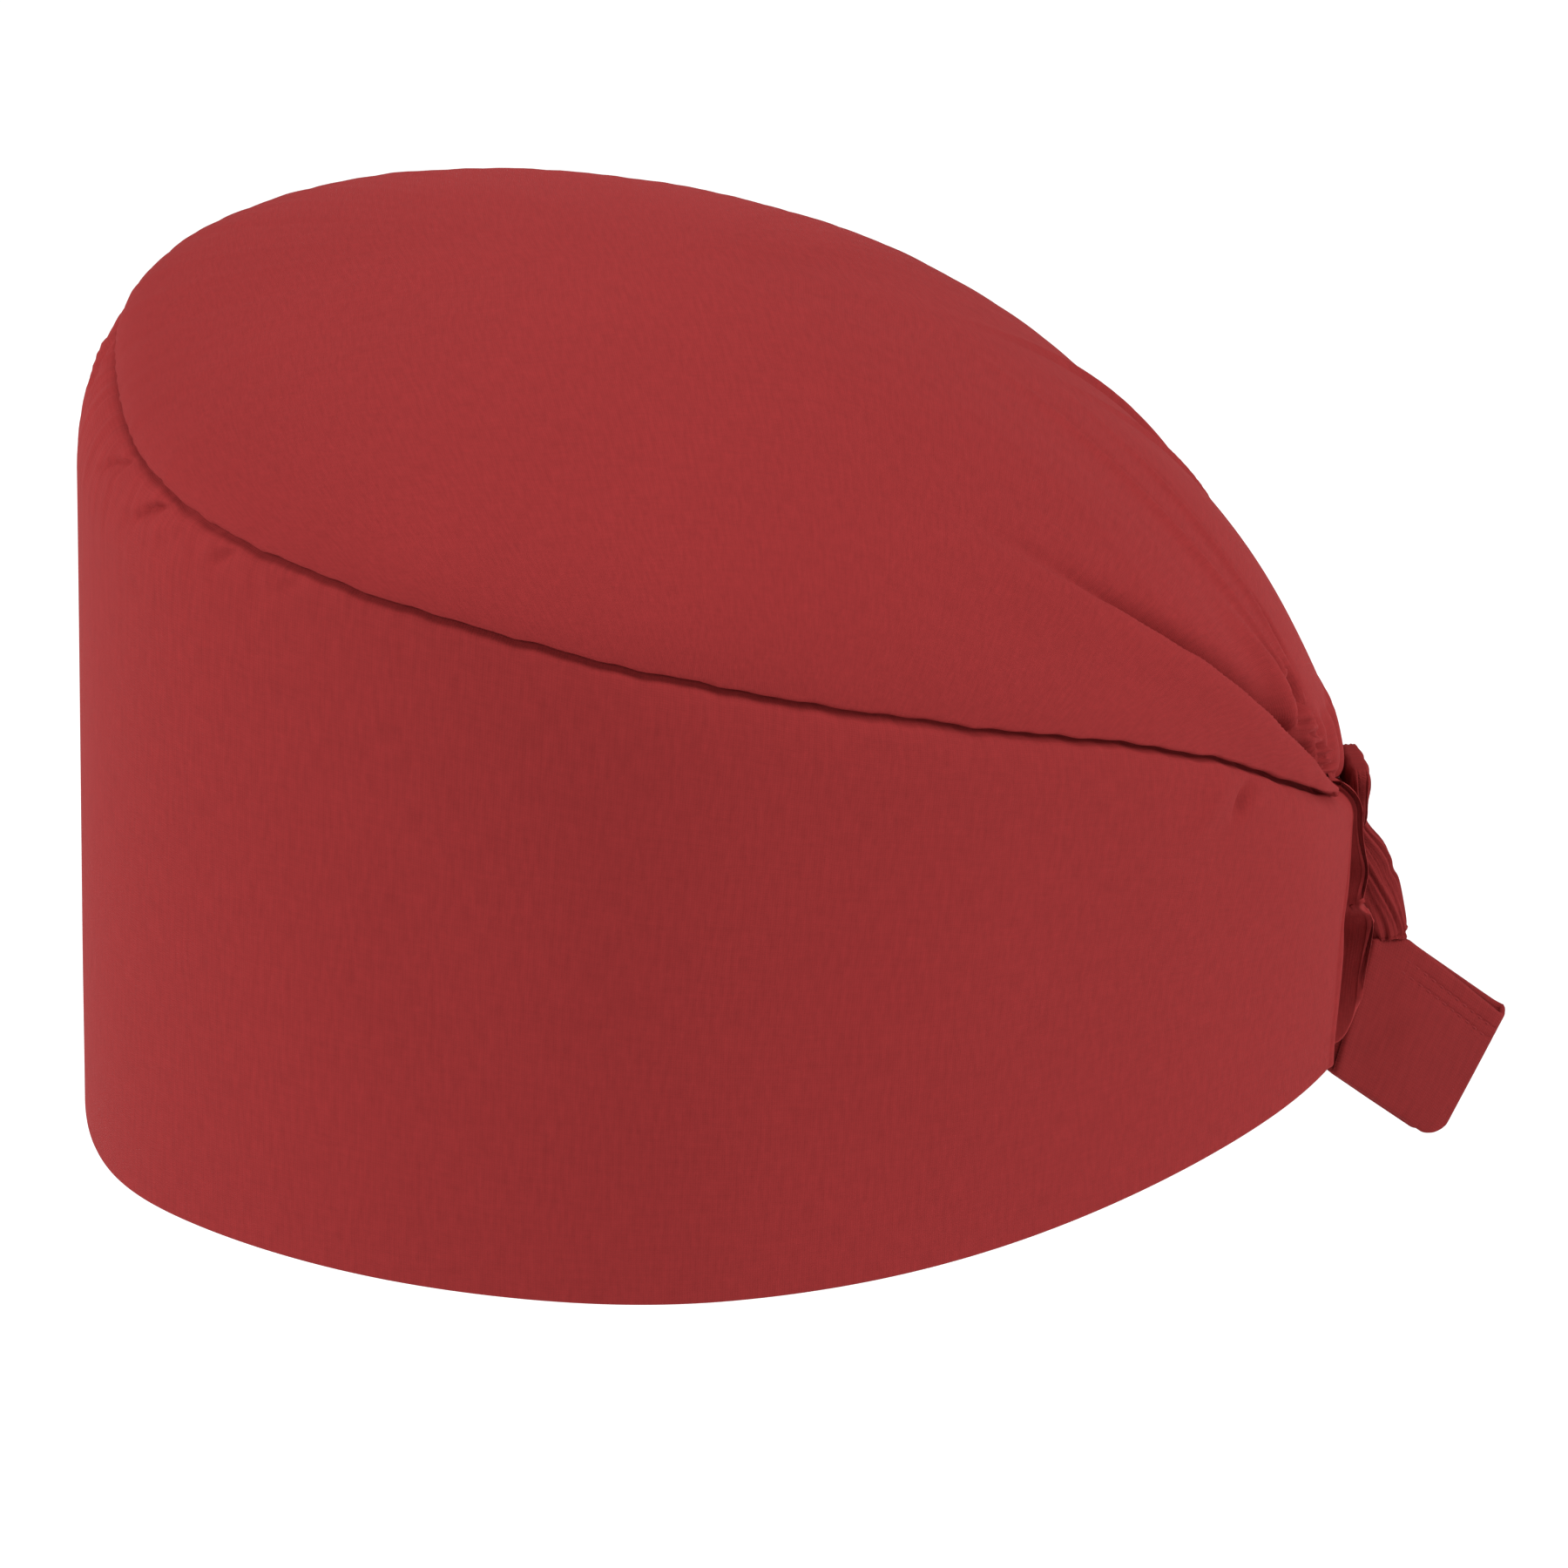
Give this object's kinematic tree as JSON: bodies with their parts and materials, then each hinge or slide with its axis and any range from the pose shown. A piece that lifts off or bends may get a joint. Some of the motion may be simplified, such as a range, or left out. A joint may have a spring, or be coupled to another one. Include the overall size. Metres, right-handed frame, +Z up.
{
  "type": "surgical cap",
  "caption": "Tie-back surgical cap: a deep fabric band under a domed crown gathered at the nape, with a knotted cloth tie.",
  "frame": {"origin": "centre of the head opening, level with the rim at the forehead", "axes": "+Z up through the crown, +X towards the nape and the tie, -X towards the forehead"},
  "size_m": [0.2309, 0.1712, 0.1592],
  "materials": {
    "cap_cloth": "matt plain-woven cotton blend, brick red",
    "tie_cloth": "matt plain-woven cotton blend, darker brick red"
  },
  "bodies": {
    "root": {"crown": "cap_cloth", "band": "cap_cloth", "nape_casing": "cap_cloth", "tie_knot": "tie_cloth", "tie_neck": "tie_cloth", "tie_end": "tie_cloth"}
  },
  "joints": []
}
